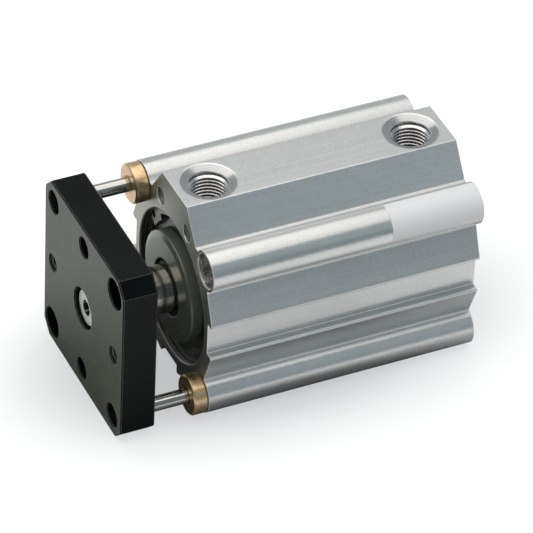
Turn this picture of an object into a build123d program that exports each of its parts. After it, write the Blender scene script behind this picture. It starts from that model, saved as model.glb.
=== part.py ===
from build123d import *
import math
import os

# Short-stroke pneumatic cylinder, 50 mm bore, with two guide rods and a flange plate.
# Millimetres. +X is the out-stroke of the piston rod, +Z is up, towards the air ports.
# The origin is on the cylinder's axis, in the rear mounting face of the barrel.
# The parts stand in the retracted position: the piston rests at the rear.

# Stroke, bore and rods
stroke = 50.0
bore_d = 50.0
rod_d = 16.0
guide_rod_d = 5.0

# Square of four holes that the lobes, the guide rods and the plate share
mount_pitch = 50.0

# Extruded section of the barrel
lobe_r = 7.0
core_half = 27.4
shoulder_z = 28.7
lip_root = 17.6
groove_floor = 28.7
groove_half = 6.0
lip_round = 0.7
rib_top_z = 39.5
rib_half_top = 9.7
rib_half_foot = 17.4
rib_round = 0.3
duct_d = 6.1
duct_y = 10.3
duct_z = 29.4

# Ends of the bore, where the head and the cover are seated
seat_step = 1.0
seat_depth = 6.0
mouth_chamfer = 0.35
ring_inset = 2.0
ring_slot = 2.15
ring_groove_step = 1.5
head_reach = 16.0
cover_reach = 15.2

# Holes in the lobes
bolt_hole_d = 6.6
bolt_head_hole_d = 11.4
bolt_head_hole_depth = 6.8
hole_edge = 0.35

# Air ports: straight pipe thread, here as a plain hole over the crests
port_thread_d = 13.157
port_inset = 11.8
port_face_d = 19.2
port_face_depth = 1.0
port_mouth_edge = 0.3
port_floor_z = 27.2
air_hole_d = 4.0

# Front head
boss_d = 37.7
boss_rise = 1.75
boss_bevel_r = 1.85
boss_bevel_x = 0.7
nose_step = 3.0
nose_length = 4.4
o_ring_cord = 1.8
o_ring_slot = 2.6
o_ring_land = 1.2
rod_passage_gap = 0.3
wiper_wall = 1.9
wiper_depth = 3.0
wiper_inset = 0.5
wiper_lip = 0.7
rod_seal_wall = 4.0
rod_seal_length = 4.6
seal_wall = 1.2
rod_bush_wall = 1.5
rod_bush_length = 7.6

# Rear cover
cover_recess_d = 34.0
cover_recess_depth = 1.2
tool_hole_d = 4.0
tool_hole_pitch = 24.0
tool_hole_depth = 3.0

# Retaining rings, with an ear on each side of the gap
ring_thickness = 2.0
ring_play = 0.2
ring_width = 3.9
ear_reach = 5.9
ear_angle = 21.0
ear_hole_d = 2.6
ear_hole_from_edge = 3.2
ear_hole_from_gap = 2.8
ring_gap_angle = 30.0
front_gap_angle = 166.0
rear_gap_angle = 270.0

# Bumpers on the head and on the cover
bumper_inner_d = 24.0
bumper_width = 3.0
bumper_depth = 1.4
bumper_stand = 0.8
stop_play = 0.1

# Piston, in two halves that hold the magnet ring
piston_length = 12.0
piston_split = 6.0
piston_gap = 0.2
piston_land = 0.9
piston_seal_width = 2.5
piston_seal_depth = 3.4
magnet_width = 2.8
magnet_depth = 3.6
magnet_gap = 0.15
spigot_d = 11.0
spigot_stop = 4.5
piston_ring_cord = 1.4
piston_ring_slot = 2.0
piston_ring_inset = 2.0
piston_screw_d = 8.0
piston_screw_head_d = 15.0
piston_screw_length = 20.0
piston_screw_socket = 5.0

# Flange plate
plate_margin = 7.0
plate_thickness = 12.0
plate_gap = 19.0
plate_corner = 4.5
plate_edge = 0.4
plate_bolt_hole_d = 10.5
plate_thread_d = 6.0
plate_plain_hole_d = 7.2
rod_seat_depth = 1.5
flat_across = 14.0
flat_length = 3.0

# Centre screw of the plate, with a low head
centre_hole_d = 14.2
centre_hole_depth = 6.3
centre_screw_d = 8.0
centre_head_d = 13.0
centre_head_height = 5.0
centre_screw_length = 22.0
centre_socket = 5.0

# Guide rods, their screws and washers
guide_seat_depth = 3.0
guide_rod_edge = 0.5
guide_tail = 3.0
guide_hole_d = 8.0
guide_hole_depth = 5.6
guide_screw_d = 3.0
guide_head_d = 5.5
guide_head_height = 3.0
guide_screw_length = 10.0
guide_socket = 2.5
washer_d = 7.0
washer_thickness = 0.5

# Guide bushes, with a flange
bush_flange_d = 13.6
bush_flange = 5.0
bush_body_d = 9.0
bush_length = 22.0
bush_edge = 0.5

# Duct plugs and label
plug_length = 6.0
plug_inset = 0.4
label_thickness = 0.12
label_length = 32.3
label_start_angle = -10.0
label_end_angle = 106.0

# Clearances, small edges, overshoot of cuts and depth of key sockets in their heads
slide_gap = 0.03
seal_gap = 0.05
seat_gap = 0.05
thread_gap = 0.03
shank_gap = 0.3
head_edge = 0.5
drill_spare = 2.0
over = 1.0
socket_share = 0.6
sunk_socket_share = 0.8

# Places that follow from the sizes above
half_pitch = mount_pitch / 2
bore_r = bore_d / 2
rod_r = rod_d / 2
wiper_r = rod_r + wiper_wall
rod_seal_r = rod_r + rod_seal_wall
plate_side = mount_pitch + 2 * plate_margin
seat_r = bore_r + seat_step
nose_r = bore_r - nose_step
ring_groove_r = seat_r + ring_groove_step
flange_inset = ring_inset + ring_slot
piston_room = 2 * (bumper_stand + stop_play) + stroke + piston_length
rear_face = 0.0
cover_inner = rear_face + cover_reach
piston_rear = cover_inner + bumper_stand + stop_play
piston_mid = piston_rear + piston_split
piston_front = piston_rear + piston_length
head_inner = cover_inner + piston_room
front_face = head_inner + head_reach
boss_face = front_face + boss_rise
plate_back = front_face + plate_gap
plate_front = plate_back + plate_thickness
rod_front = plate_back + rod_seat_depth
centre_seat = plate_front - centre_hole_depth
guide_seat = plate_front - guide_hole_depth
guide_front = plate_back + guide_seat_depth
spigot_end = piston_rear + spigot_stop
wiper_floor = boss_face - wiper_depth
rod_seal_front = wiper_floor - seal_wall
guide_places = ((-half_pitch, half_pitch), (half_pitch, -half_pitch))
bolt_places = ((half_pitch, half_pitch), (-half_pitch, -half_pitch))
barrel_ends = ((front_face, -1, head_reach), (rear_face, 1, cover_reach))


def turned(points, y=0.0, z=0.0):
    """A solid turned about an axis along X, from points of distance along X and radius."""
    outline = make_face(Polyline(*points, close=True))
    return Pos(0, y, z) * revolve(outline, Axis.X, 360)


def bar(radius, start, end, y=0.0, z=0.0):
    """A round bar along X between two ends."""
    low = min(start, end)
    return Pos(low, y, z) * extrude(Plane.YZ * Circle(radius), amount=abs(end - start))


def hexagon_bar(across, start, end, y=0.0, z=0.0):
    """A hexagonal bar along X between two ends, for a key socket."""
    low = min(start, end)
    face = Plane.YZ * RegularPolygon(across / 2, 6, major_radius=False)
    return Pos(low, y, z) * extrude(face, amount=abs(end - start))


def hole_from(face, way, radius, depth, y=0.0, z=0.0):
    """Cutter for a round hole from a face going along way, with a small chamfer at its mouth."""
    points = (
        (face - way * over, 0),
        (face - way * over, radius + hole_edge),
        (face, radius + hole_edge),
        (face + way * hole_edge, radius),
        (face + way * depth, radius),
        (face + way * depth, 0),
    )
    return turned(points, y, z)


def sector(middle, width):
    """A wedge of the plane from its origin, centred on an angle."""
    far = 2 * bore_d
    angles = (math.radians(middle - width / 2), math.radians(middle + width / 2))
    corners = [(far * math.cos(a), far * math.sin(a)) for a in angles]
    return make_face(Polyline((0, 0), *corners, close=True))


def lipped_side(turn):
    """One side of the section: two flanks that rise from the core to the lips of a sensor groove."""
    reach = half_pitch + lobe_r
    shape = make_face(
        Polyline(
            (0, -lip_root),
            (core_half, -lip_root),
            (reach, -groove_half),
            (reach, groove_half),
            (core_half, lip_root),
            (0, lip_root),
            close=True,
        )
    )
    shape -= Pos(reach, 0) * Rectangle(2 * (reach - groove_floor), 2 * groove_half)
    tips = [v for v in shape.vertices() if v.X > reach - lip_round]
    return Rot(0, 0, turn) * fillet(tips, lip_round)


def port_rib():
    """The rib on top of the section that carries the air ports."""
    rib = make_face(
        Polyline(
            (-rib_half_foot, 0),
            (-rib_half_foot, shoulder_z),
            (-rib_half_top, rib_top_z),
            (rib_half_top, rib_top_z),
            (rib_half_foot, shoulder_z),
            (rib_half_foot, 0),
            close=True,
        )
    )
    return fillet(rib.vertices().group_by(Axis.Y)[-1], rib_round)


def barrel_section():
    """The extruded section: core, four lobes, three lipped sides, port rib and its two channels."""
    section = Pos(0, (shoulder_z - core_half) / 2) * Rectangle(2 * core_half, shoulder_z + core_half)
    section += port_rib()
    for turn in (0, 180, 270):
        section += lipped_side(turn)
    for y, z in guide_places + bolt_places:
        section += Pos(y, z) * Circle(lobe_r)
    for side in (-1, 1):
        section -= Pos(side * duct_y, duct_z) * Circle(duct_d / 2)
    return section


def end_seat(face, way):
    """Cutter for one end of the bore: chamfered mouth, seat and the groove of the retaining ring."""
    points = (
        (face - way * over, 0),
        (face - way * over, seat_r + mouth_chamfer),
        (face, seat_r + mouth_chamfer),
        (face + way * mouth_chamfer, seat_r),
        (face + way * ring_inset, seat_r),
        (face + way * ring_inset, ring_groove_r),
        (face + way * flange_inset, ring_groove_r),
        (face + way * flange_inset, seat_r),
        (face + way * seat_depth, seat_r),
        (face + way * seat_depth, 0),
    )
    return turned(points)


def port_hole(x):
    """Cutter for an air port: shallow conical seat, small edge and tapping hole."""
    port_r = port_thread_d / 2
    face_z = rib_top_z - port_face_depth
    outline = make_face(
        Polyline(
            (0, rib_top_z + over),
            (port_face_d / 2, rib_top_z + over),
            (port_face_d / 2, rib_top_z),
            (port_r + port_mouth_edge, face_z),
            (port_r, face_z - port_mouth_edge),
            (port_r, port_floor_z),
            (0, port_floor_z),
            close=True,
        )
    )
    return Pos(x, 0, 0) * revolve(Plane.XZ * outline, Axis.Z, 360)


def air_hole(x):
    """Cutter for the drilled way from the floor of a port into the bore."""
    height = port_floor_z + over - nose_r
    drill = Cylinder(air_hole_d / 2, height, align=(Align.CENTER, Align.CENTER, Align.MIN))
    return Pos(x, 0, nose_r) * drill


def make_barrel():
    """The extruded barrel, bored, seated at both ends, ported and drilled through its lobes."""
    barrel = extrude(Plane.YZ * barrel_section(), amount=front_face - rear_face)
    barrel -= bar(bore_r, rear_face - over, front_face + over)
    for face, way, reach in barrel_ends:
        barrel -= end_seat(face, way)
        barrel -= port_hole(face + way * port_inset)
        barrel -= air_hole(face + way * (reach - nose_length / 2))
    for y, z in bolt_places:
        barrel -= bar(bolt_hole_d / 2, rear_face - over, front_face + over, y, z)
        barrel -= hole_from(front_face, -1, bolt_head_hole_d / 2, bolt_head_hole_depth, y, z)
    for y, z in guide_places:
        barrel -= hole_from(front_face, -1, bush_body_d / 2 + slide_gap, front_face - rear_face + over, y, z)
    return barrel


def plug_outline(face, way, reach):
    """Outline of the head or the cover from its flange to its nose, with the O-ring groove."""
    body = bore_r - seat_gap
    nose = face + way * (reach - nose_length)
    slot_end = nose - way * o_ring_land
    slot_start = slot_end - way * o_ring_slot
    floor = bore_r - o_ring_cord
    return [
        (face + way * (flange_inset + seat_gap), seat_r - seat_gap),
        (face + way * seat_depth, seat_r - seat_gap),
        (face + way * seat_depth, body),
        (slot_start, body),
        (slot_start, floor),
        (slot_end, floor),
        (slot_end, body),
        (nose, body),
        (nose, nose_r),
        (face + way * reach, nose_r),
    ]


def bumper_slot(face, way):
    """Cutter for the slot of a bumper ring, sunk into a face that looks along way."""
    inner = bumper_inner_d / 2
    outer = inner + bumper_width
    floor = face - way * bumper_depth
    top = face + way * over
    return turned(((top, inner), (top, outer), (floor, outer), (floor, inner)))


def make_front_head():
    """The front head: raised boss, flange behind the retaining ring, grooved plug and rod passage."""
    boss_r = boss_d / 2
    passage = rod_r + rod_passage_gap
    outline = [
        (boss_face, passage),
        (boss_face, boss_r - boss_bevel_r),
        (boss_face - boss_bevel_x, boss_r),
        (front_face - flange_inset - seat_gap, boss_r),
    ]
    outline += plug_outline(front_face, -1, head_reach)
    outline.append((head_inner, passage))
    head = turned(outline)
    head -= bar(wiper_r, boss_face + over, wiper_floor)
    head -= bar(rod_seal_r, rod_seal_front, rod_seal_front - rod_seal_length)
    head -= bar(rod_r + rod_bush_wall, head_inner - over, head_inner + rod_bush_length)
    head -= bumper_slot(head_inner, -1)
    return head


def make_rear_cover():
    """The rear cover: a closed plug with a turned recess and two blind holes for a pin spanner."""
    outer_face = rear_face + flange_inset + seat_gap
    recess_floor = outer_face + cover_recess_depth
    outline = [(outer_face, 0)]
    outline += plug_outline(rear_face, 1, cover_reach)
    outline.append((cover_inner, 0))
    cover = turned(outline)
    cover -= bar(cover_recess_d / 2, outer_face - over, recess_floor)
    for y in (-tool_hole_pitch / 2, tool_hole_pitch / 2):
        cover -= bar(tool_hole_d / 2, outer_face, recess_floor + tool_hole_depth, y)
    cover -= bumper_slot(cover_inner, 1)
    return cover


def make_bumper(face, way):
    """A bumper ring in its slot, standing proud of a face that looks along way."""
    inner = bumper_inner_d / 2 + seat_gap
    outer = bumper_inner_d / 2 + bumper_width - seat_gap
    floor = face - way * bumper_depth
    top = face + way * bumper_stand
    edge = bumper_stand / 2
    points = (
        (floor, inner),
        (floor, outer),
        (top - way * edge, outer),
        (top, outer - edge),
        (top, inner + edge),
        (top - way * edge, inner),
    )
    return turned(points)


def make_retaining_ring(face, way, gap_at):
    """A retaining ring in its groove, with an eared gap at the angle gap_at."""
    outer = ring_groove_r - ring_play
    ear_inner = outer - ear_reach
    hole_r = ear_inner + ear_hole_from_edge
    hole_turn = ring_gap_angle / 2 + math.degrees(ear_hole_from_gap / hole_r)
    ring = Circle(outer) - Circle(outer - ring_width)
    ear_band = Circle(outer) - Circle(ear_inner)
    for side in (-1, 1):
        middle = gap_at + side * (ring_gap_angle + ear_angle) / 2
        ring += ear_band & sector(middle, ear_angle)
    ring -= sector(gap_at, ring_gap_angle)
    for side in (-1, 1):
        ring -= Rot(0, 0, gap_at + side * hole_turn) * (Pos(hole_r, 0) * Circle(ear_hole_d / 2))
    start = face + way * flange_inset
    return Pos(start, 0, 0) * extrude(Plane.YZ * ring, amount=-way * ring_thickness)


def make_o_ring(x, floor_r, wall_r):
    """An O-ring between the floor of its groove and the wall around it."""
    cord_r = (wall_r - floor_r - seat_gap) / 2
    return revolve(Pos(x, (wall_r + floor_r) / 2) * Circle(cord_r), Axis.X, 360)


def make_plug_ring(face, way, reach):
    """The O-ring of the head or of the cover."""
    x = face + way * (reach - nose_length - o_ring_land - o_ring_slot / 2)
    return make_o_ring(x, bore_r - o_ring_cord, bore_r)


def make_rod_bush():
    """The plain bearing of the piston rod, pressed into the head from inside."""
    outer = rod_r + rod_bush_wall - seat_gap / 2
    inner = rod_r + slide_gap
    end = head_inner + rod_bush_length
    return turned(((head_inner, inner), (head_inner, outer), (end, outer), (end, inner)))


def make_rod_seal():
    """The lip seal of the piston rod, open towards the pressure side."""
    front = rod_seal_front - seat_gap
    back = rod_seal_front - rod_seal_length + seat_gap
    outer = rod_seal_r - seat_gap
    inner = rod_r + seal_gap
    middle = (outer + inner) / 2
    lip = (outer - inner) / 4
    points = (
        (front, inner + lip / 2),
        (front, outer - lip / 2),
        (back, outer),
        (back, outer - lip),
        ((front + back) / 2, middle),
        (back, inner + lip),
        (back, inner),
    )
    return turned(points)


def make_rod_wiper():
    """The wiper ring in the mouth of the boss, with its lip towards the outside."""
    back = wiper_floor + seat_gap
    front = boss_face - wiper_inset
    outer = wiper_r - seat_gap
    inner = rod_r + seal_gap
    shoulder = (front + back) / 2
    points = (
        (back, inner + wiper_lip),
        (back, outer),
        (shoulder, outer),
        (shoulder, inner + 2 * wiper_lip),
        (front, inner + wiper_lip),
        (front, inner),
    )
    return turned(points)


def make_guide_bush(y, z):
    """A bronze bush: its flange stands in front of the lobe, its body is pressed into it."""
    inner = guide_rod_d / 2 + slide_gap
    body = bush_body_d / 2
    flange = bush_flange_d / 2
    back = front_face - bush_length
    front = front_face + bush_flange
    points = (
        (back, inner),
        (back, body - bush_edge),
        (back + bush_edge, body),
        (front_face, body),
        (front_face, flange - bush_edge),
        (front_face + bush_edge, flange),
        (front - bush_edge, flange),
        (front, flange - bush_edge),
        (front, inner + bush_edge),
        (front - bush_edge, inner),
    )
    return turned(points, y, z)


def make_duct_plugs(face, way):
    """The two plugs that close the channels beside the port rib at one end of the barrel."""
    start = face + way * plug_inset
    radius = duct_d / 2 - slide_gap
    plugs = [bar(radius, start, start + way * plug_length, side * duct_y, duct_z) for side in (-1, 1)]
    return Compound(children=plugs)


def make_label():
    """The bare label round the upper lobe, as far as the rear face."""
    ring = Circle(lobe_r + label_thickness) - Circle(lobe_r)
    ring &= sector((label_start_angle + label_end_angle) / 2, label_end_angle - label_start_angle)
    face = Pos(half_pitch, half_pitch) * ring
    return Pos(rear_face, 0, 0) * extrude(Plane.YZ * face, amount=label_length)


def make_piston_rod():
    """The piston rod: seated in the plate, with spanner flats, a spigot and a tapped hole in each end."""
    points = (
        (rod_front, 0),
        (rod_front, rod_r - head_edge),
        (rod_front - head_edge, rod_r),
        (piston_front, rod_r),
        (piston_front, spigot_d / 2),
        (spigot_end, spigot_d / 2),
        (spigot_end, 0),
    )
    rod = turned(points)
    for side in (-1, 1):
        flat = Box(flat_length, rod_d, rod_d, align=(Align.MAX, Align.CENTER, Align.CENTER))
        rod -= Pos(plate_back, side * (flat_across + rod_d) / 2, 0) * flat
    front_drill = centre_seat - centre_screw_length - drill_spare
    rear_drill = piston_rear + piston_screw_length + drill_spare
    rod -= bar(centre_screw_d / 2 + thread_gap, front_drill, rod_front + over)
    rod -= bar(piston_screw_d / 2 + thread_gap, spigot_end - over, rear_drill)
    return rod


def piston_rim(face, way):
    """Outline of a piston half's rim, from its outer face to the split, with seal and magnet steps."""
    outer = bore_r - piston_gap
    seal_start = face + way * piston_land
    seal_end = seal_start + way * piston_seal_width
    split = piston_mid
    step = split - way * magnet_width / 2
    return [
        (face, outer),
        (seal_start, outer),
        (seal_start, outer - piston_seal_depth),
        (seal_end, outer - piston_seal_depth),
        (seal_end, outer),
        (step, outer),
        (step, outer - magnet_depth),
        (split, outer - magnet_depth),
    ]


def make_piston_front():
    """The front half of the piston, against the shoulder of the rod, grooved inside for its O-ring."""
    hole = spigot_d / 2 + slide_gap
    half = turned([(piston_front, hole)] + piston_rim(piston_front, -1) + [(piston_mid, hole)])
    ring_start = piston_front - piston_ring_inset
    ring_end = ring_start - piston_ring_slot
    half -= bar(spigot_d / 2 + piston_ring_cord, ring_start, ring_end)
    return half


def make_piston_rear():
    """The rear half of the piston, held by the countersunk screw."""
    hole = spigot_d / 2 + slide_gap
    screw_hole = piston_screw_d / 2 + shank_gap
    head_r = piston_screw_head_d / 2 + shank_gap
    outline = [
        (piston_mid, hole),
        (spigot_end, hole),
        (spigot_end, screw_hole),
        (piston_rear + head_r - screw_hole, screw_hole),
        (piston_rear, head_r),
    ]
    outline += piston_rim(piston_rear, 1)
    return turned(outline)


def make_magnet_ring():
    """The magnet ring that a sensor in the groove reads, held between the halves of the piston."""
    inner = bore_r - piston_gap - magnet_depth + slide_gap
    outer = bore_r - piston_gap - magnet_gap
    low = piston_mid - magnet_width / 2
    high = piston_mid + magnet_width / 2
    return turned(((low, inner), (low, outer), (high, outer), (high, inner)))


def make_piston_seal(face, way):
    """A lip seal of the piston, open towards the outer face of its half."""
    start = face + way * (piston_land + seat_gap)
    end = face + way * (piston_land + piston_seal_width - seat_gap)
    floor = bore_r - piston_gap - piston_seal_depth + seat_gap
    outer = bore_r - seal_gap
    lip = (outer - floor) / 4
    points = (
        (start, floor),
        (start, floor + lip),
        ((start + end) / 2, (floor + outer) / 2),
        (start, outer - lip),
        (start, outer),
        (end, outer - lip),
        (end, floor),
    )
    return turned(points)


def make_piston_ring():
    """The small O-ring between the piston and the spigot of the rod."""
    x = piston_front - piston_ring_inset - piston_ring_slot / 2
    return make_o_ring(x, spigot_d / 2, spigot_d / 2 + piston_ring_cord)


def make_piston_screw():
    """The countersunk screw that holds the piston on the rod."""
    shank = piston_screw_d / 2
    head = piston_screw_head_d / 2
    end = piston_rear + piston_screw_length
    cone_end = piston_rear + head - shank
    points = ((piston_rear, 0), (piston_rear, head), (cone_end, shank), (end, shank), (end, 0))
    socket_end = piston_rear + sunk_socket_share * (head - shank)
    return turned(points) - hexagon_bar(piston_screw_socket, piston_rear - over, socket_end)


def make_flange_plate():
    """The flange plate: square with cut corners, eight holes round the centre screw's hole."""
    outline = chamfer(Rectangle(plate_side, plate_side).vertices(), plate_corner)
    plate = extrude(Plane.YZ * outline, amount=plate_thickness)
    ends = plate.faces().filter_by(Axis.X)
    plate = chamfer(ends.edges(), plate_edge)
    plate = Pos(plate_back, 0, 0) * plate
    through = plate_thickness + over
    for y, z in bolt_places:
        plate -= hole_from(plate_front, -1, plate_bolt_hole_d / 2, through, y, z)
    for side in (-1, 1):
        plate -= hole_from(plate_front, -1, plate_thread_d / 2, through, side * half_pitch, 0)
        plate -= hole_from(plate_front, -1, plate_plain_hole_d / 2, through, 0, side * half_pitch)
    for y, z in guide_places:
        plate -= hole_from(plate_front, -1, guide_hole_d / 2, guide_hole_depth, y, z)
        plate -= bar(guide_screw_d / 2 + shank_gap, plate_back, plate_front, y, z)
        plate -= bar(guide_rod_d / 2 + slide_gap, plate_back - over, guide_front, y, z)
    plate -= hole_from(plate_front, -1, centre_hole_d / 2, centre_hole_depth)
    plate -= bar(centre_screw_d / 2 + shank_gap, plate_back, plate_front)
    plate -= bar(rod_r + slide_gap, plate_back - over, rod_front)
    return plate


def socket_screw(seat, shank_d, head_d, head_height, length, socket, y=0.0, z=0.0):
    """A cheese-head screw with a key socket, its head seated at x = seat and its shank going rearwards."""
    top = seat + head_height
    points = (
        (top, 0),
        (top, head_d / 2 - head_edge),
        (top - head_edge, head_d / 2),
        (seat, head_d / 2),
        (seat, shank_d / 2),
        (seat - length, shank_d / 2),
        (seat - length, 0),
    )
    screw = turned(points, y, z)
    return screw - hexagon_bar(socket, top - socket_share * head_height, top + over, y, z)


def make_centre_screw():
    """The screw that holds the flange plate on the piston rod."""
    sizes = (centre_screw_d, centre_head_d, centre_head_height, centre_screw_length, centre_socket)
    return socket_screw(centre_seat, *sizes)


def make_guide_screws():
    """The two screws that hold the guide rods in the flange plate."""
    seat = guide_seat + washer_thickness
    sizes = (guide_screw_d, guide_head_d, guide_head_height, guide_screw_length, guide_socket)
    return Compound(children=[socket_screw(seat, *sizes, y, z) for y, z in guide_places])


def make_guide_washers():
    """The washers under the guide rod screws."""
    low = guide_seat
    high = guide_seat + washer_thickness
    inner = guide_screw_d / 2 + shank_gap / 2
    outer = washer_d / 2
    points = ((low, inner), (low, outer), (high, outer), (high, inner))
    return Compound(children=[turned(points, y, z) for y, z in guide_places])


def make_guide_rod(y, z):
    """A guide rod from its seat in the plate through its bush, tapped at the front."""
    radius = guide_rod_d / 2
    end = rear_face + guide_tail
    points = (
        (guide_front, 0),
        (guide_front, radius),
        (end + guide_rod_edge, radius),
        (end, radius - guide_rod_edge),
        (end, 0),
    )
    rod = turned(points, y, z)
    drill = guide_seat + washer_thickness - guide_screw_length - drill_spare
    return rod - bar(guide_screw_d / 2 + thread_gap, drill, guide_front + over, y, z)


def make_parts():
    """Every part of the cylinder by the name of its node."""
    front = barrel_ends[0]
    back = barrel_ends[1]
    upper, lower = guide_places
    return {
        "barrel": make_barrel(),
        "front_head": make_front_head(),
        "rear_cover": make_rear_cover(),
        "front_retaining_ring": make_retaining_ring(front_face, -1, front_gap_angle),
        "rear_retaining_ring": make_retaining_ring(rear_face, 1, rear_gap_angle),
        "front_head_o_ring": make_plug_ring(*front),
        "rear_cover_o_ring": make_plug_ring(*back),
        "rod_bush": make_rod_bush(),
        "rod_seal": make_rod_seal(),
        "rod_wiper": make_rod_wiper(),
        "front_bumper": make_bumper(head_inner, -1),
        "rear_bumper": make_bumper(cover_inner, 1),
        "upper_guide_bush": make_guide_bush(*upper),
        "lower_guide_bush": make_guide_bush(*lower),
        "front_duct_plugs": make_duct_plugs(front_face, -1),
        "rear_duct_plugs": make_duct_plugs(rear_face, 1),
        "label": make_label(),
        "piston_rod": make_piston_rod(),
        "piston_front_half": make_piston_front(),
        "piston_rear_half": make_piston_rear(),
        "magnet_ring": make_magnet_ring(),
        "front_piston_seal": make_piston_seal(piston_front, -1),
        "rear_piston_seal": make_piston_seal(piston_rear, 1),
        "piston_o_ring": make_piston_ring(),
        "piston_screw": make_piston_screw(),
        "flange_plate": make_flange_plate(),
        "centre_screw": make_centre_screw(),
        "upper_guide_rod": make_guide_rod(*upper),
        "lower_guide_rod": make_guide_rod(*lower),
        "guide_rod_screws": make_guide_screws(),
        "guide_rod_washers": make_guide_washers(),
    }


os.makedirs("parts", exist_ok=True)
for name, shape in make_parts().items():
    export_step(shape, f"parts/{name}.step")
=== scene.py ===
"""Looks of the short-stroke cylinder: finishes, thread forms, studio and camera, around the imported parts."""

import logging
import math
from dataclasses import dataclass
from enum import Enum

import bpy
from mathutils import Matrix, Vector


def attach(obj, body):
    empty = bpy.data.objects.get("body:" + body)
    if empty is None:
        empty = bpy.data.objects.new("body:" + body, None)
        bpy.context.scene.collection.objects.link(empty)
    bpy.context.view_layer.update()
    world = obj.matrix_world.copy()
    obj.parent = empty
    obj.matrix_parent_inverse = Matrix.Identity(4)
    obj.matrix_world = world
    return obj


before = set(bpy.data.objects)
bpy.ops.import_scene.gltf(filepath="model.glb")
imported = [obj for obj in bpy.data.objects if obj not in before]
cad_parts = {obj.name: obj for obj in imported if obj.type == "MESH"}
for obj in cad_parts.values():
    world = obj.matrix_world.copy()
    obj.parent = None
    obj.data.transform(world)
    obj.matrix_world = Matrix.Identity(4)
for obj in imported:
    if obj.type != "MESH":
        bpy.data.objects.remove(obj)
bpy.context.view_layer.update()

log = logging.getLogger("cylinder")

Colour = tuple[float, float, float]
Place = tuple[float, float, float]
Pair = tuple[float, float]
Socket = bpy.types.NodeSocket


class Body(Enum):
    """The two bodies that the joint connects."""

    CYLINDER = "cylinder"
    SLIDE = "slide"


class Along(Enum):
    """Directions that a thread's axis can have, as the turn that brings +Z there."""

    UP = (0.0, 0.0, 0.0)
    OUT = (0.0, math.pi / 2, 0.0)


@dataclass(frozen=True)
class Grain:
    """Noise on object coordinates, and the range that it shades a colour by.

    Detail is the number of finer layers and rough is their weight.
    """

    scale: Place
    detail: float = 2.0
    rough: float = 0.5
    shade: Pair = (1.0, 1.0)


class Writer:
    """Adds nodes to one tree."""

    def __init__(self, tree: bpy.types.NodeTree, prefix: str) -> None:
        """Start an empty tree.

        Args:
            tree: the tree to fill.
            prefix: first part of the usual node types.
        """
        self.tree = tree
        self.prefix = prefix
        self.tree.nodes.clear()

    def put(self, kind: str, inputs: dict | None = None, prefix: str = "", **settings) -> bpy.types.Node:
        """Add a node.

        Args:
            kind: the node's type, without its prefix.
            inputs: socket name or number to a value, or to the socket that feeds it.
            prefix: first part of the node's type, where it isn't the tree's usual one.
            settings: the node's own settings.

        Returns:
            The new node.
        """
        node = self.tree.nodes.new((prefix or self.prefix) + kind)
        for key, value in settings.items():
            setattr(node, key, value)
        self.feed(node, inputs or {})
        return node

    def feed(self, node: bpy.types.Node, inputs: dict) -> None:
        """Set a node's inputs.

        Args:
            node: the node.
            inputs: socket name or number to a value, or to the socket that feeds it.
        """
        for key, value in inputs.items():
            if isinstance(value, Socket):
                self.tree.links.new(value, node.inputs[key])
            else:
                node.inputs[key].default_value = value

    def maths(self, operation: str, first: Socket | float, second: Socket | float = 0.0) -> Socket:
        """One arithmetic step on numbers or sockets."""
        return self.put("Math", {0: first, 1: second}, "ShaderNode", operation=operation).outputs[0]


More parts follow.
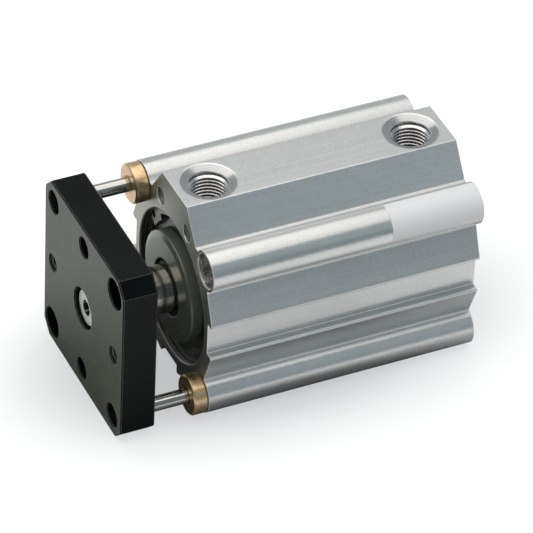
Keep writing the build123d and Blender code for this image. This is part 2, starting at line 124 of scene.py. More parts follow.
class Graph(Writer):
    """Writes the nodes of one material."""

    END_NORMAL = 0.9
    EDGE_MASK_FROM = 0.93
    EDGE_MASK_TO = 0.995
    BEVEL_SAMPLES = 6

    def __init__(self, name: str) -> None:
        """Start an empty material.

        Args:
            name: name of the material.
        """
        self.material = bpy.data.materials.new(name)
        self.material.use_nodes = True
        super().__init__(self.material.node_tree, "ShaderNode")

    def place(self, scale: Place = (1, 1, 1), centre: Place = (0, 0, 0)) -> Socket:
        """Object coordinates, moved so that centre is their origin, and then scaled.

        Args:
            scale: factors along the three axes.
            centre: point in metres that becomes the origin.

        Returns:
            The vector socket.
        """
        source = self.put("TexCoord").outputs["Object"]
        moved = self.put("VectorMath", {0: source, 1: centre}, operation="SUBTRACT").outputs[0]
        return self.put("VectorMath", {0: moved, 1: scale}, operation="MULTIPLY").outputs[0]

    def reach(self, first: Socket, second: Socket) -> Socket:
        """Length of a vector that is given by two components."""
        squares = [self.maths("MULTIPLY", part, part) for part in (first, second)]
        return self.maths("SQRT", self.maths("ADD", *squares))

    def vector(self, first: Socket | float, second: Socket | float = 0.0) -> Socket:
        """A vector from its first two components."""
        return self.put("CombineXYZ", {0: first, 1: second, 2: 0.0}).outputs[0]

    def parts(self, vector: Socket) -> list[Socket]:
        """The three components of a vector."""
        return list(self.put("SeparateXYZ", {0: vector}).outputs)

    def is_end(self) -> Socket:
        """1 on faces that look along X, and 0 elsewhere."""
        normal = self.parts(self.put("NewGeometry").outputs["Normal"])
        return self.maths("GREATER_THAN", self.maths("ABSOLUTE", normal[0]), self.END_NORMAL)

    def noise(self, vector: Socket, detail: float = 2.0, rough: float = 0.5) -> Socket:
        """Noise between 0 and 1 at a vector.

        Args:
            vector: where the noise is read.
            detail: number of finer layers.
            rough: weight of the finer layers.

        Returns:
            The factor socket.
        """
        inputs = {"Vector": vector, "Scale": 1.0, "Detail": detail, "Roughness": rough}
        return self.put("TexNoise", inputs).outputs["Fac"]

    def grain(self, grain: Grain) -> Socket:
        """A grain's noise, between 0 and 1."""
        return self.noise(self.place(grain.scale), grain.detail, grain.rough)

    def shaded(self, colour: Socket | Colour, grain: Grain) -> Socket:
        """A colour under a grain of its own."""
        return self.shade(colour, self.spread(self.grain(grain), *grain.shade))

    def spread(self, value: Socket, low: float, high: float, start: float = 0.3, end: float = 0.7) -> Socket:
        """Map a value from start..end to low..high.

        Args:
            value: the socket to map.
            low: result at start.
            high: result at end.
            start: lower end of the source.
            end: upper end of the source.

        Returns:
            The mapped socket.
        """
        inputs = {"Value": value, "From Min": start, "From Max": end, "To Min": low, "To Max": high}
        return self.put("MapRange", inputs).outputs["Result"]

    def mix(self, factor: Socket, first: Socket | float, second: Socket | float) -> Socket:
        """Mix two numbers by a factor between 0 and 1."""
        # Inputs 2 and 3 of the node are its two numbers.
        return self.put("Mix", {0: factor, 2: first, 3: second}).outputs[0]

    def blend(self, factor: Socket, first: Socket | Colour, second: Socket | Colour) -> Socket:
        """Mix two colours.

        Args:
            factor: 0 for the first colour, 1 for the second.
            first: colour or colour socket.
            second: colour or colour socket.

        Returns:
            The mixed colour.
        """
        colours = [value if isinstance(value, Socket) else (*value, 1.0) for value in (first, second)]
        # Inputs 6 and 7 of the node are its two colours, and output 2 is their mixture.
        return self.put("Mix", {0: factor, 6: colours[0], 7: colours[1]}, data_type="RGBA").outputs[2]

    def shade(self, colour: Socket | Colour, factor: Socket) -> Socket:
        """Multiply a colour by a grey factor."""
        return self.put("VectorMath", {0: colour, "Scale": factor}, operation="SCALE").outputs[0]

    def bump(
        self, height: Socket, depth: Socket | float, strength: float, normal: Socket | None = None
    ) -> Socket:
        """Turn a height into a normal.

        Args:
            height: values between 0 and 1.
            depth: metres between height 0 and height 1.
            strength: share of the effect.
            normal: a normal to start from.

        Returns:
            The normal socket.
        """
        inputs = {"Height": height, "Distance": depth, "Strength": strength}
        if normal is not None:
            inputs["Normal"] = normal
        return self.put("Bump", inputs).outputs["Normal"]

    def rounded(self, radius: float) -> Socket:
        """Normal that turns over every sharp edge within a radius, as a broken edge does."""
        return self.put("Bevel", {"Radius": radius}, samples=self.BEVEL_SAMPLES).outputs["Normal"]

    def edge_highlight_and_wear(self, radius: float, share: float = 1.0) -> Socket:
        """How near a sharp edge lies: the mask for edge wear and for painted edge highlights.

        Args:
            radius: reach of the edge in metres.
            share: result at the edge itself.

        Returns:
            A socket between 0, away from edges, and share.
        """
        flat = self.put("NewGeometry").outputs["Normal"]
        turned = self.put("VectorMath", {0: self.rounded(radius), 1: flat}, operation="DOT_PRODUCT")
        return self.spread(turned.outputs["Value"], share, 0.0, self.EDGE_MASK_FROM, self.EDGE_MASK_TO)

    def finish(self, inputs: dict) -> bpy.types.Material:
        """Close the material with a principled surface.

        Args:
            inputs: values and sockets of the surface.

        Returns:
            The finished material.
        """
        return self.close(self.put("BsdfPrincipled", inputs))

    def close(self, shader: bpy.types.Node) -> bpy.types.Material:
        """Send a shader to the material's surface."""
        self.put("OutputMaterial", {"Surface": shader.outputs[0]})
        return self.material


@dataclass(frozen=True)
class Extruded:
    """Clear anodised extrusion, brushed along X, with faced ends, turned port seats and painted edge
    highlights.
    """

    name: str
    side: Colour = (0.685, 0.70, 0.70)
    end: Colour = (0.447, 0.47, 0.425)
    seat: Colour = (0.46, 0.475, 0.485)
    # Near-white: painted highlight along the sharp edges, and in the counterbore bare machined metal lightened
    # in part as painted glints.
    bare_metal_and_edge_highlight: Colour = (0.96, 0.96, 0.95)
    bore: Colour = (0.3, 0.3, 0.28)
    bore_radius: float = 0.0277
    screw_seat: Pair = (0.025, 0.025)
    screw_seat_radius: float = 0.0059
    edge: float = 0.0005
    ports: Pair = (0.0118, 0.0832)
    port_radius: float = 0.0096
    port_floor: float = 0.027
    rib_top: float = 0.0395
    skin: float = 0.0002
    streak: Grain = Grain(scale=(9, 2600, 2600), detail=3.0, rough=0.6, shade=(0.94, 1.05))
    broad: Grain = Grain(scale=(4, 260, 260), shade=(0.985, 1.015))
    fine: Grain = Grain(scale=(1600, 3000, 3000), detail=3.0, rough=0.8, shade=(0.84, 1.16))
    cloud: Grain = Grain(scale=(60, 60, 60), detail=3.0, shade=(0.97, 1.02))
    arc_centre: Place = (0.047, 0.012, -0.09)
    arc_count: float = 4200.0
    arc_shade: Pair = (0.84, 1.12)
    ring_count: float = 5200.0
    ring_shade: Pair = (0.7, 1.3)
    chatter: Grain = Grain(scale=(1900, 700, 700), detail=3.0, rough=0.7, shade=(0.38, 1.0))
    chatter_range: Pair = (0.44, 0.58)
    side_rough: Pair = (0.3, 0.38)
    end_rough: float = 0.42
    seat_rough: float = 0.2
    line_depth: float = 0.000012
    chatter_depth: float = 0.0006
    bump_share: float = 0.35
    metal: Pair = (0.9, 0.15)
    brushing: float = 0.55

    def build(self) -> bpy.types.Material:
        """Brushed sides, arcs of the facing cutter on the ends, rings round the ports, painted white
        highlights on the edges.

        Returns:
            The finished material.
        """
        g = Graph(self.name)
        x, y, z = g.parts(g.place())
        is_end = g.is_end()
        streak = g.grain(self.streak)
        arcs = self.arcs(g)
        near = g.maths("MINIMUM", *(g.reach(g.maths("SUBTRACT", x, port), y) for port in self.ports))
        across, up = (g.maths("SUBTRACT", part, axis) for part, axis in zip((y, z), self.screw_seat))
        counterbore = g.maths("LESS_THAN", g.reach(across, up), self.screw_seat_radius)
        on_seat = g.maths("MAXIMUM", self.on_port(g, near, z), counterbore)
        rings = g.noise(g.vector(g.maths("MULTIPLY", near, self.ring_count)))
        marks = g.mix(counterbore, rings, g.grain(self.chatter))
        in_bore = g.maths("LESS_THAN", g.reach(y, z), self.bore_radius)
        edge_highlight_and_wear = g.edge_highlight_and_wear(self.edge)
        colour = g.blend(on_seat, self.brushed(g, streak), self.machined(g, counterbore, marks))
        colour = g.blend(in_bore, colour, self.bore)
        colour = g.blend(is_end, colour, g.shade(self.end, g.spread(arcs, *self.arc_shade)))
        # Painted highlight: a near-white line along every sharp edge.
        colour = g.blend(edge_highlight_and_wear, colour, self.bare_metal_and_edge_highlight)
        colour = g.shaded(colour, self.cloud)
        rough = g.mix(is_end, g.spread(streak, *self.side_rough), self.end_rough)
        lines = g.mix(on_seat, g.mix(is_end, streak, arcs), marks)
        depth = g.mix(counterbore, self.line_depth, self.chatter_depth)
        return g.finish({
            "Base Color": colour,
            # Metallic falls along the edges, so the painted edge highlight shows as a matt white line.
            "Metallic": g.spread(edge_highlight_and_wear, *self.metal, start=0.0, end=1.0),
            "Roughness": g.mix(on_seat, rough, self.seat_rough),
            "Anisotropic": self.brushing,
            "Tangent": g.vector(1.0),
            "Normal": g.bump(lines, depth, self.bump_share, g.rounded(self.edge)),
        })

    def arcs(self, g: Graph) -> Socket:
        """Noise that changes only with the distance from the facing cutter's axis."""
        _, y, z = g.parts(g.place(centre=self.arc_centre))
        return g.noise(g.vector(g.maths("MULTIPLY", g.reach(y, z), self.arc_count)))

    def on_port(self, g: Graph, near: Socket, z: Socket) -> Socket:
        """1 on the turned port seats.

        Args:
            g: the material's graph.
            near: distance from the nearer port's axis.
            z: height.

        Returns:
            The factor socket.
        """
        inside = g.maths("LESS_THAN", near, self.port_radius)
        below = g.maths("LESS_THAN", z, self.rib_top - self.skin)
        above = g.maths("GREATER_THAN", z, self.port_floor)
        return g.maths("MULTIPLY", inside, g.maths("MULTIPLY", below, above))

    def brushed(self, g: Graph, streak: Socket) -> Socket:
        """Colour of the drawn and brushed sides, with streaks along X."""
        colour = g.shade(self.side, g.spread(streak, *self.streak.shade))
        return g.shaded(g.shaded(colour, self.broad), self.fine)

    def machined(self, g: Graph, counterbore: Socket, marks: Socket) -> Socket:
        """Colour of the port seats and of the counterbore, with the tool's marks; the counterbore's near-white
        is bare metal and in part painted glints.

        Args:
            g: the material's graph.
            counterbore: 1 in the counterbore, and 0 elsewhere.
            marks: the marks, between 0 and 1.

        Returns:
            The colour socket.
        """
        rings = g.spread(marks, *self.ring_shade)
        chatter = g.spread(marks, *self.chatter.shade, *self.chatter_range)
        return g.shade(g.blend(counterbore, self.seat, self.bare_metal_and_edge_highlight), g.mix(counterbore, rings, chatter))


@dataclass(frozen=True)
class Turned:
    """Metal turned about an axis along X: fine rings on its faces and round its sides.

    Below deep_x along X, and inside the radius core, the colour falls off as painted shade of a recess.
    """

    name: str
    colour: Colour
    rough: float = 0.35
    centre: Pair = (0.0, 0.0)
    ring: float = 7000.0
    depth: float = 0.00001
    mottle: float = 0.05
    metallic: float = 0.95
    edge: float = 0.0001
    deep_x: float = -1.0
    painted_recess_shade: float = 0.35
    deep_step: float = 0.0004
    core: float = 0.0
    painted_core_shade: float = 0.06
    core_step: float = 0.0001
    ring_rough: float = 0.6
    cloud: Grain = Grain(scale=(420, 420, 420), detail=4.0, rough=0.6)
    rough_range: Pair = (0.85, 1.15)
    bump_share: float = 0.7

    def build(self) -> bpy.types.Material:
        """Rings from noise read at the radius and at the place along the axis.

        Returns:
            The finished material.
        """
        g = Graph(self.name)
        x, y, z = g.parts(g.place(centre=(0, *self.centre)))
        reach = g.reach(y, z)
        along = g.vector(g.maths("MULTIPLY", reach, self.ring), g.maths("MULTIPLY", x, self.ring))
        rings = g.noise(along, rough=self.ring_rough)
        colour = self.colour
        for factor in (
            g.spread(rings, 1 - self.mottle, 1 + self.mottle),
            g.spread(g.grain(self.cloud), 1 - self.mottle, 1 + self.mottle),
            # Painted shade: darker below deep_x along X and inside the core radius.
            g.spread(x, self.painted_recess_shade, 1.0, self.deep_x - self.deep_step, self.deep_x),
            g.spread(reach, self.painted_core_shade, 1.0, self.core, self.core + self.core_step),
        ):
            colour = g.shade(colour, factor)
        return g.finish({
            "Base Color": colour,
            "Metallic": self.metallic,
            "Roughness": g.spread(rings, *(self.rough * factor for factor in self.rough_range)),
            "Normal": g.bump(rings, self.depth, self.bump_share, g.rounded(self.edge)),
        })


@dataclass(frozen=True)
class BlackAnodised:
    """Black anodised aluminium with a faint grain, faces along X painted lighter as reflected light, and edges
    painted grey as wear and highlight.
    """

    name: str
    colour: Colour = (0.003, 0.0035, 0.0035)
    # Faces along X: a lighter colour than the sides, a painted reflection of the floor.
    face: Colour = (0.083, 0.101, 0.079)
    # Grey along the edges: partly worn bare metal, partly painted highlight.
    bare_metal_and_edge_highlight: Colour = (0.36, 0.37, 0.35)
    rough: float = 0.27
    gloss: float = 0.12
    tint: tuple[float, float, float, float] = (0.8, 0.97, 0.93, 1.0)
    edge: float = 0.00022
    edge_highlight_and_wear_share: float = 0.6
    fine: Grain = Grain(scale=(2400, 2400, 2400), detail=3.0, rough=0.8, shade=(0.62, 1.42))
    fine_rough: Pair = (-0.03, 0.03)
    fine_depth: float = 0.000006
    cloud: Grain = Grain(scale=(90, 90, 90), detail=3.0, shade=(0.92, 1.08))
    cloud_rough: Pair = (-0.04, 0.05)
    bump_share: float = 0.5

    def build(self) -> bpy.types.Material:
        """A dark surface whose gloss varies over fine pits and broad clouds, with painted lighter faces along
        X and painted bright edges.

        Returns:
            The finished material.
        """
        g = Graph(self.name)
        fine = g.grain(self.fine)
        cloud = g.grain(self.cloud)
        broad = g.spread(cloud, *(self.rough + change for change in self.cloud_rough))
        # Faces along X take the painted reflection colour; edges take grey, partly wear and partly painted
        # highlight.
        colour = g.shade(g.blend(g.is_end(), self.colour, self.face), g.spread(cloud, *self.cloud.shade))
        colour = g.blend(g.edge_highlight_and_wear(self.edge, self.edge_highlight_and_wear_share), colour, self.bare_metal_and_edge_highlight)
        return g.finish({
            "Base Color": g.shade(colour, g.spread(fine, *self.fine.shade)),
            "Roughness": g.maths("ADD", broad, g.spread(fine, *self.fine_rough)),
            "Specular IOR Level": self.gloss,
            "Specular Tint": self.tint,
            "Normal": g.bump(fine, self.fine_depth, self.bump_share, g.rounded(self.edge)),
        })


@dataclass(frozen=True)
class Moulded:
    """Rubber or plastic with a fine matt grain."""

    name: str
    colour: Colour
    rough: float = 0.6
    swing: float = 0.06
    fine: Grain = Grain(scale=(3500, 3500, 3500), detail=3.0, rough=0.6)
    fine_depth: float = 0.00001
    cloud: Grain = Grain(scale=(240, 240, 240), shade=(0.88, 1.12))
    bump_share: float = 0.5

    def build(self) -> bpy.types.Material:
        """A plain colour over a fine grain, with slight clouds.

        Returns:
            The finished material.
        """
        g = Graph(self.name)
        fine = g.grain(self.fine)
        return g.finish({
            "Base Color": g.shaded(self.colour, self.cloud),
            "Roughness": g.spread(fine, self.rough - self.swing, self.rough + self.swing),
            "Normal": g.bump(fine, self.fine_depth, self.bump_share),
        })


@dataclass(frozen=True)
class Film:
    """Silver-white label film."""

    name: str
    colour: Colour = (0.775, 0.815, 0.855)
    fibre: Grain = Grain(scale=(900, 2600, 2600), detail=3.0, rough=0.6, shade=(0.985, 1.015))
    fibre_rough: Pair = (0.42, 0.5)
    fibre_depth: float = 0.000002
    bump_share: float = 0.4

    def build(self) -> bpy.types.Material:
        """A satin film with hardly visible fibres.

        Returns:
            The finished material.
        """
        g = Graph(self.name)
        fibre = g.grain(self.fibre)
        return g.finish({
            "Base Color": g.shade(self.colour, g.spread(fibre, *self.fibre.shade)),
            "Roughness": g.spread(fibre, *self.fibre_rough),
            "Normal": g.bump(fibre, self.fibre_depth, self.bump_share),
        })


@dataclass(frozen=True)
class Backdrop:
    """Pale floor that shows white to the camera and keeps the shadow, with a painted shadow round the object's
    foot.

    Distances are from the middle of the object's foot, with X shortened by squash.
    """

    name: str
    colour: Colour = (0.615, 0.625, 0.625)
    painted_shadow_colour: Colour = (0.16, 0.172, 0.175)
    painted_shadow_reach: Pair = (0.035, 0.078)
    glow: tuple[float, float, float, float] = (0.972, 0.992, 1.0, 1.0)
    painted_shadow_glow: float = 0.52
    step_glow: float = 0.70
    painted_shadow_glow_reach: Pair = (0.025, 0.047)
    glow_loss: float = 0.12
    loss_ramp: Pair = (0.055, 0.078)
    mirrored_glow: float = 0.6
    mirrored_painted_shadow_reach: Pair = (0.039, 0.072)
    middle: Place = (0.063, 0.0, 0.0)
    squash: Place = (0.55, 1.0, 1.0)

    def build(self) -> bpy.types.Material:
        """A matt floor, with its own light added for camera, mirrored and transmitted rays; near the object
        its colour and that light are lowered as painted shadow, also in reflections.

        Returns:
            The finished material.
        """
        g = Graph(self.name)
        path = g.put("LightPath").outputs
        x, y, _ = g.parts(g.place(self.squash, self.middle))
        away = g.reach(x, y)
        # Painted shade in reflections: mirrored rays see no added light close to the object.
        mirrored = g.spread(away, 0.0, self.mirrored_glow, *self.mirrored_painted_shadow_reach)
        mirrored = g.maths("MULTIPLY", path["Is Glossy Ray"], mirrored)
        seen = g.maths("MAXIMUM", path["Is Camera Ray"], mirrored)
        seen = g.maths("MAXIMUM", seen, path["Is Transmission Ray"])
        # Painted shadow for the camera: less added light close to the object.
        rise = g.spread(away, self.painted_shadow_glow, self.step_glow, *self.painted_shadow_glow_reach)
        glow = g.maths("SUBTRACT", rise, g.spread(away, 0.0, self.glow_loss, *self.loss_ramp))
        # Painted shadow: the floor colour is darker close to the object.
        out_of_painted_shadow = g.spread(away, 0.0, 1.0, *self.painted_shadow_reach)
        matt = g.put("BsdfDiffuse", {"Color": g.blend(out_of_painted_shadow, self.painted_shadow_colour, self.colour)})
        light = g.put("Emission", {"Color": self.glow, "Strength": g.maths("MULTIPLY", seen, glow)})
        return g.close(g.put("AddShader", {0: matt.outputs[0], 1: light.outputs[0]}))


@dataclass(frozen=True)
class Thread:
    """A row of equal internal threads, in metres. Foot and crest are shares of the pitch."""

    first: Place
    step: Place
    turn: Along
    wall_radius: float
    depth: float
    pitch: float
    turns: float
    count: int = 2
    foot: float = 0.97
    crest: float = 0.16

    def values(self, material: bpy.types.Material) -> dict:
        """Inputs of the thread tree.

        Args:
            material: finish of the threads.

        Returns:
            Input name to value.
        """
        return {
            "Wall Radius": self.wall_radius,
            "Depth": self.depth,
            "Pitch": self.pitch,
            "Turns": self.turns,
            "Foot": self.pitch * self.foot,
            "Crest": self.pitch * self.crest,
            "First": self.first,
            "Step": self.step,
            "Turn": self.turn.value,
            "Count": self.count,
            "Material": material,
        }


class ThreadTree(Writer):
    """Geometry nodes that internal threads come from: a ridge on a helix, repeated at equal steps."""

    SOCKETS = {
        "Float": ("Wall Radius", "Depth", "Pitch", "Turns", "Foot", "Crest"),
        "Vector": ("First", "Step", "Turn"),
        "Int": ("Count",),
        "Material": ("Material",),
    }
    STEPS_A_TURN = 40

    def __init__(self) -> None:
        """Write the node tree once."""
        super().__init__(bpy.data.node_groups.new("internal_thread", "GeometryNodeTree"), "GeometryNode")
        face = self.tree.interface
        for kind, names in self.SOCKETS.items():
            for name in names:
                face.new_socket(name, in_out="INPUT", socket_type="NodeSocket" + kind)
        face.new_socket("Geometry", in_out="OUTPUT", socket_type="NodeSocketGeometry")
        given = self.put("GroupInput", prefix="Node").outputs
        thread = self.ridge_on_helix(given)
        places = self.put("MeshLine", {
            "Count": given["Count"],
            "Start Location": given["First"],
            "Offset": given["Step"],
        }, mode="OFFSET")
        turn = self.put("EulerToRotation", {0: given["Turn"]}, prefix="FunctionNode")
        spots = self.put("InstanceOnPoints", {
            "Points": places.outputs[0],
            "Instance": thread,
            "Rotation": turn.outputs[0],
        })
        solid = self.put("RealizeInstances", {0: spots.outputs[0]})
        dressed = self.put("SetMaterial", {"Geometry": solid.outputs[0], "Material": given["Material"]})
        self.put("GroupOutput", {"Geometry": dressed.outputs[0]}, prefix="Node")

    def ridge_on_helix(self, given: bpy.types.NodeOutputs) -> Socket:
        """One thread: a trapezoid swept along a helix.

        Args:
            given: the tree's inputs.

        Returns:
            The mesh, with flat faces.
        """
        middle = self.maths("SUBTRACT", given["Wall Radius"], self.maths("DIVIDE", given["Depth"], 2.0))
        helix = self.put("CurveSpiral", {
            "Resolution": self.STEPS_A_TURN,
            "Rotations": given["Turns"],
            "Start Radius": middle,
            "End Radius": middle,
            "Height": self.maths("MULTIPLY", given["Pitch"], given["Turns"]),
        })
        upright = self.put("SetCurveNormal", {"Curve": helix.outputs[0]}, mode="Z_UP")
        ridge = self.put("CurvePrimitiveQuadrilateral", {
            "Bottom Width": given["Foot"],
            "Top Width": given["Crest"],
            "Height": given["Depth"],
            "Offset": 0.0,
        }, mode="TRAPEZOID")
        quarter = (0.0, 0.0, -math.pi / 2)
        sideways = self.put("Transform", {"Geometry": ridge.outputs[0], "Rotation": quarter})
        swept = self.put("CurveToMesh", {
            "Curve": upright.outputs[0],
            "Profile Curve": sideways.outputs[0],
            "Fill Caps": True,
        })
        return self.put("SetShadeSmooth", {"Geometry": swept.outputs[0], "Shade Smooth": False}).outputs[0]

    def make(self, name: str, thread: Thread, material: bpy.types.Material, body: Body, slot: str) -> None:
        """Run the tree and keep its result as a plain mesh.

        Args:
            name: name of the piece.
            thread: sizes of the threads.
            material: finish of the threads.
            body: body that the piece rides on.
            slot: a material slot; not used.
        """
        holder = bpy.data.objects.new(name + "_source", bpy.data.meshes.new(name + "_source"))
        bpy.context.collection.objects.link(holder)
        modifier = holder.modifiers.new("thread", "NODES")
        modifier.node_group = self.tree
        values = thread.values(material)
        for item in self.tree.interface.items_tree:
            if item.in_out == "INPUT":
                modifier[item.identifier] = values[item.name]
        evaluated = holder.evaluated_get(bpy.context.evaluated_depsgraph_get())
        mesh = bpy.data.meshes.new_from_object(evaluated)
        bpy.data.objects.remove(holder)
        piece = bpy.data.objects.new(name, mesh)
        bpy.context.collection.objects.link(piece)
        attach(piece, body.value)


def dress(material: bpy.types.Material, *nodes: str) -> None:
    """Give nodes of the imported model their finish.

    Args:
        material: the finish.
        nodes: names of the nodes.
    """
    for node in nodes:
        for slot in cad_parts[node].material_slots:
            slot.material = material
        log.info("%s dressed with %s", node, material.name)


@dataclass
class Barrel:
    """Extruded barrel with its ports, channel plugs and label."""

    port_thread: Thread = Thread(
        first=(0.0118, 0.0, 0.0279),
        step=(0.0714, 0.0, 0.0),
        turn=Along.UP,
        wall_radius=0.00664,
        depth=0.00090,
        pitch=0.001337,
        turns=7.1,
    )

    def build(self, threads: ThreadTree) -> None:
        """Dress the barrel and add its port threads.

        Args:
            threads: the thread tree.
        """
        dress(Extruded("anodised_extrusion").build(), "barrel")
        plug = Moulded("channel_plug", colour=(0.03, 0.042, 0.048), rough=0.32).build()
        dress(plug, "front_duct_plugs", "rear_duct_plugs")
        dress(Film("label_film").build(), "label")
        cut = Turned(
            name="port_thread",
            colour=(0.66, 0.67, 0.66),
            rough=0.22,
            ring=3000.0,
            depth=0.000002,
        )
        threads.make("port_threads", self.port_thread, cut.build(), Body.CYLINDER, "anodised")


@dataclass
class Ends:
    """Front head and rear cover with their rings, seals and bumpers."""

    # Below this along X, the head's colour is darkened as painted shade in the recess round the flange.
    flange_x: float = 0.0925

    def build(self) -> None:
        """Dress everything that closes the barrel's ends."""
        head = Turned(
            name="grey_anodised",
            colour=(0.225, 0.262, 0.218),
            rough=0.28,
            ring=5200.0,
            mottle=0.08,
            metallic=0.6,
            edge=0.0006,
            deep_x=self.flange_x,
        )
        dress(head.build(), "front_head")
        cover = Turned("cover_anodised", colour=(0.33, 0.33, 0.30), rough=0.36, ring=5200.0)
        dress(cover.build(), "rear_cover")
        spring = Turned(
            name="spring_steel",
            colour=(0.14, 0.145, 0.135),
            rough=0.3,
            ring=1500.0,
            mottle=0.12,
            metallic=0.8,
        )
        dress(spring.build(), "front_retaining_ring", "rear_retaining_ring")
        rubber = Moulded("seal_rubber", colour=(0.012, 0.012, 0.013), rough=0.5)
        dress(rubber.build(), "front_head_o_ring", "rear_cover_o_ring", "rod_seal", "rod_wiper")
        bumper = Moulded("bumper_elastomer", colour=(0.03, 0.07, 0.05), rough=0.55)
        dress(bumper.build(), "front_bumper", "rear_bumper")
        bronze = Turned("bearing_bronze", colour=(0.5, 0.36, 0.19), rough=0.4)
        dress(bronze.build(), "rod_bush")


@dataclass
class Piston:
    """Piston with its seals, magnet and screw, on the ground rod."""

    def build(self, ground: bpy.types.Material, zinc: bpy.types.Material) -> None:
        """Dress the piston rod and what it carries inside.

        Args:
            ground: finish of the rod.
            zinc: finish of the screw.
        """
        dress(ground, "piston_rod")
        turned = Turned("turned_aluminium", colour=(0.62, 0.62, 0.6), rough=0.3)
        dress(turned.build(), "piston_front_half", "piston_rear_half")
        rubber = Moulded("piston_rubber", colour=(0.014, 0.014, 0.016), rough=0.48)
        dress(rubber.build(), "front_piston_seal", "rear_piston_seal", "piston_o_ring")
        magnet = Moulded("bonded_magnet", colour=(0.02, 0.02, 0.022), rough=0.5)
        dress(magnet.build(), "magnet_ring")
        dress(zinc, "piston_screw")


@dataclass
class Guides:
    """Two guide rods in flanged bronze bushes, with the screws and washers that hold them in the plate."""

    upper: Pair = (-0.025, 0.025)
    lower: Pair = (0.025, -0.025)

    def build(self, chrome: bpy.types.Material, zinc: bpy.types.Material) -> None:
        """Dress the guides, each bush with rings round its own axis.

        Args:
            chrome: finish of the rods.
            zinc: finish of the screws and washers.
        """
        for name, centre in (("upper", self.upper), ("lower", self.lower)):
            bronze = Turned(
                name=name + "_bronze",
                colour=(0.72, 0.53, 0.31),
                rough=0.3,
                centre=centre,
                ring=3600.0,
                mottle=0.16,
                edge=0.0005,
            )
            dress(bronze.build(), name + "_guide_bush")
            dress(chrome, name + "_guide_rod")
        dress(zinc, "guide_rod_screws", "guide_rod_washers")


@dataclass
class FlangePlate:
    """Black plate with its centre screw and two threaded holes."""

    thread: Thread = Thread(
        first=(0.11455, -0.025, 0.0),
        step=(0.0, 0.05, 0.0),
        turn=Along.OUT,
        wall_radius=0.00304,
        depth=0.00058,
        pitch=0.001,
        turns=10.9,
    )
    thread_colour: Colour = (0.004, 0.005, 0.005)
    # Inside this radius, the screw head's colour is darkened as painted shade in its socket.
    socket_radius: float = 0.0027

    def build(self, threads: ThreadTree) -> None:
        """Dress the plate and its centre screw, and add its threads.

        Args:
            threads: the thread tree.
        """
        dress(BlackAnodised("black_anodised").build(), "flange_plate")
        head = Turned(
            name="screw_head",
            colour=(0.72, 0.78, 0.73),
            rough=0.36,
            ring=3000.0,
            mottle=0.16,
            metallic=0.6,
            core=self.socket_radius,
        )
        dress(head.build(), "centre_screw")
        cut = BlackAnodised(
            name="thread_anodised",
            colour=self.thread_colour,
            face=self.thread_colour,
            rough=0.16,
            gloss=0.8,
        )
        threads.make("plate_threads", self.thread, cut.build(), Body.SLIDE, "black_anodised")


@dataclass(frozen=True)
class Lamp:
    """A soft box."""

    name: str
    place: Place
    target: Place
    size: Pair
    power: float
    colour: Colour

    def build(self) -> None:
        """Hang the soft box and aim it."""
        data = bpy.data.lights.new(self.name, "AREA")
        data.shape = "RECTANGLE"
        data.size, data.size_y = self.size
        data.energy = self.power
        data.color = self.colour
        lamp = bpy.data.objects.new(self.name, data)
        bpy.context.collection.objects.link(lamp)
        lamp.location = self.place
        aim = Vector(self.target) - Vector(self.place)
        lamp.rotation_euler = aim.to_track_quat("-Z", "Y").to_euler()


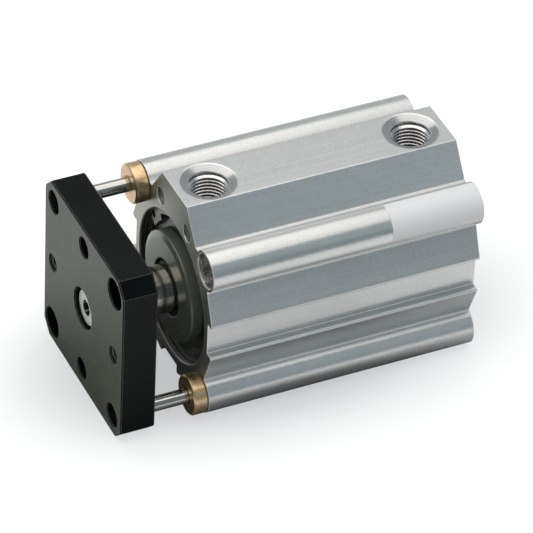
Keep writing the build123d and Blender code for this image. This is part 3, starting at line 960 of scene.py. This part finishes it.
@dataclass
class Studio:
    """Floor, lamps, world and camera."""

    floor_z: float = -0.0322
    floor_from: Pair = (-0.6, -0.7)
    floor_to: Pair = (0.7, 0.3)
    top_box: Lamp = Lamp(
        name="top_box",
        place=(0.25, -0.12, 0.8),
        target=(0.25, -0.12, 0.0),
        size=(1.2, 1.2),
        power=6.1,
        colour=(1.0, 0.915, 0.86),
    )
    side_box: Lamp = Lamp(
        name="side_box",
        place=(-0.75, 0.98, 0.6),
        target=(0.05, 0.0, 0.0),
        size=(0.7, 0.8),
        power=0.6,
        colour=(0.88, 0.98, 1.0),
    )
    dome_left: Colour = (0.465, 0.505, 0.505)
    dome_right: Colour = (0.195, 0.24, 0.265)
    dome_fill: Colour = (0.46, 0.46, 0.46)
    dome_sweep: Pair = (0.12, 0.72)
    # The camera's place, and the directions of its right, up and back in the shared frame.
    camera_at: Place = (0.584153, 1.064512, 0.960094)
    right: Place = (-0.909901, 0.413127, 0.037485)
    up: Place = (-0.234152, -0.586093, 0.775672)
    back: Place = (0.342421, 0.697008, 0.630022)
    lens: float = 317.11
    sensor: float = 36.0
    clip: Pair = (0.01, 20.0)

    def build(self) -> None:
        """Set up everything round the object."""
        self.floor()
        self.world()
        self.camera()
        for lamp in (self.top_box, self.side_box):
            lamp.build()

    def floor(self) -> None:
        """Lay the floor under the object."""
        (left, front), (right, back) = self.floor_from, self.floor_to
        plan = ((left, front), (right, front), (right, back), (left, back))
        corners = [(x, y, self.floor_z) for x, y in plan]
        mesh = bpy.data.meshes.new("floor")
        mesh.from_pydata(corners, [], [(0, 1, 2, 3)])
        mesh.materials.append(Backdrop("pale_floor").build())
        floor = bpy.data.objects.new("floor", mesh)
        bpy.context.collection.objects.link(floor)

    def world(self) -> None:
        """White for the camera, a soft grey dome for the light."""
        world = bpy.data.worlds.new("studio")
        bpy.context.scene.world = world
        world.use_nodes = True
        w = Writer(world.node_tree, "ShaderNode")
        path = w.put("LightPath").outputs
        heading = w.put("SeparateXYZ", {0: w.put("TexCoord").outputs["Generated"]}).outputs["Y"]
        share = w.put("MapRange", {"Value": heading, "From Min": -1.0}).outputs["Result"]
        sweep = w.put("ValToRGB", {"Fac": share})
        ramp = sweep.color_ramp
        ramp.interpolation = "EASE"
        for element, place, colour in zip(ramp.elements, self.dome_sweep, (self.dome_left, self.dome_right)):
            element.position = place
            element.color = (*colour, 1.0)
        fill = w.put("MixRGB", {
            "Fac": path["Is Diffuse Ray"],
            "Color1": sweep.outputs["Color"],
            "Color2": (*self.dome_fill, 1.0),
        })
        dome = w.put("Background", {"Color": fill.outputs["Color"]})
        white = w.put("Background", {"Color": (1.0, 1.0, 1.0, 1.0), "Strength": 1.0})
        both = w.put("MixShader", {0: path["Is Camera Ray"], 1: dome.outputs[0], 2: white.outputs[0]})
        w.put("OutputWorld", {"Surface": both.outputs[0]})

    def camera(self) -> None:
        """Put the camera at the photograph's viewpoint."""
        data = bpy.data.cameras.new("camera")
        data.lens = self.lens
        data.sensor_width = self.sensor
        data.clip_start, data.clip_end = self.clip
        camera = bpy.data.objects.new("camera", data)
        bpy.context.collection.objects.link(camera)
        camera.rotation_euler = Matrix((self.right, self.up, self.back)).transposed().to_euler()
        camera.location = self.camera_at
        bpy.context.scene.camera = camera


def main() -> None:
    """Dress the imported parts, add the thread forms and set up the studio."""
    logging.basicConfig(level=logging.INFO, format="%(name)s: %(message)s")
    bpy.context.scene.view_settings.view_transform = "Standard"
    chrome = Turned(
        name="hard_chrome",
        colour=(0.52, 0.51, 0.49),
        rough=0.07,
        ring=9000.0,
        depth=0.000001,
        mottle=0.015,
        metallic=1.0,
    )
    ground = Turned(
        name="ground_chrome",
        colour=(0.42, 0.40, 0.37),
        rough=0.13,
        ring=9000.0,
        depth=0.000001,
        mottle=0.03,
    )
    plating = Turned(
        name="zinc_plating",
        colour=(0.9, 0.91, 0.89),
        rough=0.36,
        ring=4000.0,
        mottle=0.08,
        metallic=0.6,
    )
    zinc = plating.build()
    threads = ThreadTree()
    Barrel().build(threads)
    Ends().build()
    Piston().build(ground.build(), zinc)
    Guides().build(chrome.build(), zinc)
    FlangePlate().build(threads)
    Studio().build()


if __name__ == "__main__":
    main()
